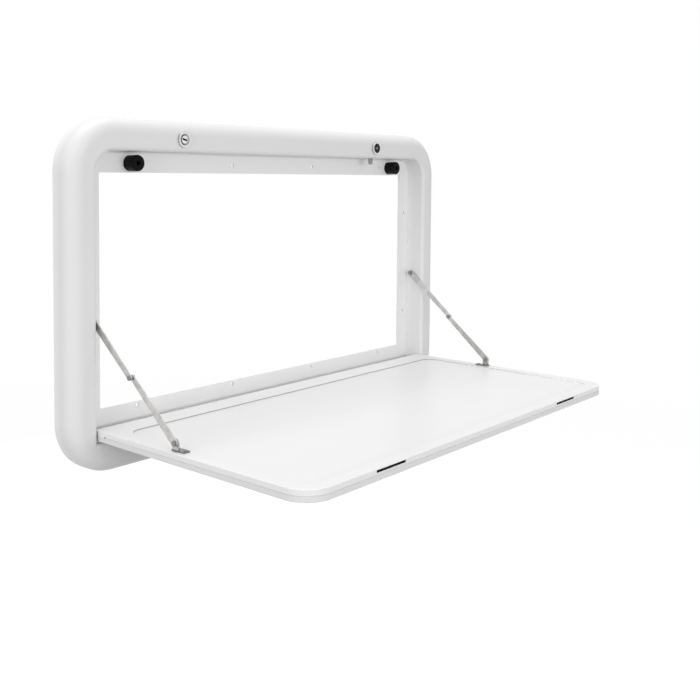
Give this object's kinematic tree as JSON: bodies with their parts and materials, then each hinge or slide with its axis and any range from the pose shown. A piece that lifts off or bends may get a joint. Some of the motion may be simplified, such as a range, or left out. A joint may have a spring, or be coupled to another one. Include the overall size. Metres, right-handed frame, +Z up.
{
  "type": "caravan folding table",
  "caption": "Wall-mounted folding table for a caravan: a white moulded frame with a drop-down leaf on side pins, folding steel stays and cam locks that hold the leaf shut.",
  "frame": {"origin": "middle of the back plane that lies on the wall, half way along the width and the height of the frame", "axes": "+Z up, +X along the frame's width, +Y into the wall, so the leaf opens towards -Y"},
  "size_m": [0.8, 0.3924, 0.46],
  "materials": {
    "white_abs": "satin moulded",
    "stay_steel": "zinc plated",
    "lock_chrome": "bright plated",
    "bumper_rubber": "matt",
    "keeper_black": "matt"
  },
  "bodies": {
    "frame": {"frame_shell": "white_abs", "bumper_left": "bumper_rubber", "bumper_right": "bumper_rubber", "bumper_screws": "stay_steel", "lock_housing_left": "lock_chrome", "lock_nut_left": "stay_steel", "hinge_pin_left": "stay_steel", "stay_pivot_left": "stay_steel", "lock_housing_right": "lock_chrome", "lock_nut_right": "stay_steel", "hinge_pin_right": "stay_steel", "stay_pivot_right": "stay_steel"},
    "leaf": {"leaf_top": "white_abs", "leaf_base": "white_abs", "bracket_screws": "stay_steel", "keeper_left": "keeper_black", "stay_bracket_left": "stay_steel", "bracket_rivet_left": "stay_steel", "keeper_right": "keeper_black", "stay_bracket_right": "stay_steel", "bracket_rivet_right": "stay_steel"},
    "upper_stay_left": {"upper_link_left": "stay_steel", "mid_rivet_head_left": "stay_steel"},
    "lower_stay_left": {"lower_link_left": "stay_steel", "mid_rivet_tail_left": "stay_steel"},
    "lock_left": {"lock_plug_left": "lock_chrome", "lock_cam_left": "stay_steel", "cam_screw_left": "stay_steel"},
    "upper_stay_right": {"upper_link_right": "stay_steel", "mid_rivet_head_right": "stay_steel"},
    "lower_stay_right": {"lower_link_right": "stay_steel", "mid_rivet_tail_right": "stay_steel"},
    "lock_right": {"lock_plug_right": "lock_chrome", "lock_cam_right": "stay_steel", "cam_screw_right": "stay_steel"}
  },
  "joints": [
    {"name": "leaf_hinge", "type": "hinge", "parent": "frame", "child": "leaf", "pos_m": [0, -0.0298, -0.1771], "axis": [-1, 0, 0], "range_deg": [0, 90]},
    {"name": "upper_stay_left_pivot", "type": "hinge", "parent": "frame", "child": "upper_stay_left", "pos_m": [-0.3573, -0.0126, -0.0206], "axis": [-1, 0, 0], "range_deg": [-49.81, 0]},
    {"name": "lower_stay_left_pivot", "type": "hinge", "parent": "leaf", "child": "lower_stay_left", "pos_m": [-0.3535, -0.1775, -0.1599], "axis": [-1, 0, 0], "range_deg": [0, 40.19]},
    {"name": "upper_stay_right_pivot", "type": "hinge", "parent": "frame", "child": "upper_stay_right", "pos_m": [0.3573, -0.0126, -0.0206], "axis": [-1, 0, 0], "range_deg": [-49.81, 0]},
    {"name": "lower_stay_right_pivot", "type": "hinge", "parent": "leaf", "child": "lower_stay_right", "pos_m": [0.3535, -0.1775, -0.1599], "axis": [-1, 0, 0], "range_deg": [0, 40.19]},
    {"name": "lock_left_turn", "type": "hinge", "parent": "frame", "child": "lock_left", "pos_m": [-0.216, -0.03, 0.2045], "axis": [0, 1, 0], "range_deg": [0, 90]},
    {"name": "lock_right_turn", "type": "hinge", "parent": "frame", "child": "lock_right", "pos_m": [0.216, -0.03, 0.2045], "axis": [0, 1, 0], "range_deg": [0, 90]}
  ],
  "couplings": [
    {"joint": "upper_stay_left_pivot", "follows": "leaf_hinge", "ratio": -0.55345},
    {"joint": "lower_stay_left_pivot", "follows": "leaf_hinge", "ratio": 0.44655},
    {"joint": "upper_stay_right_pivot", "follows": "leaf_hinge", "ratio": -0.55345},
    {"joint": "lower_stay_right_pivot", "follows": "leaf_hinge", "ratio": 0.44655}
  ]
}
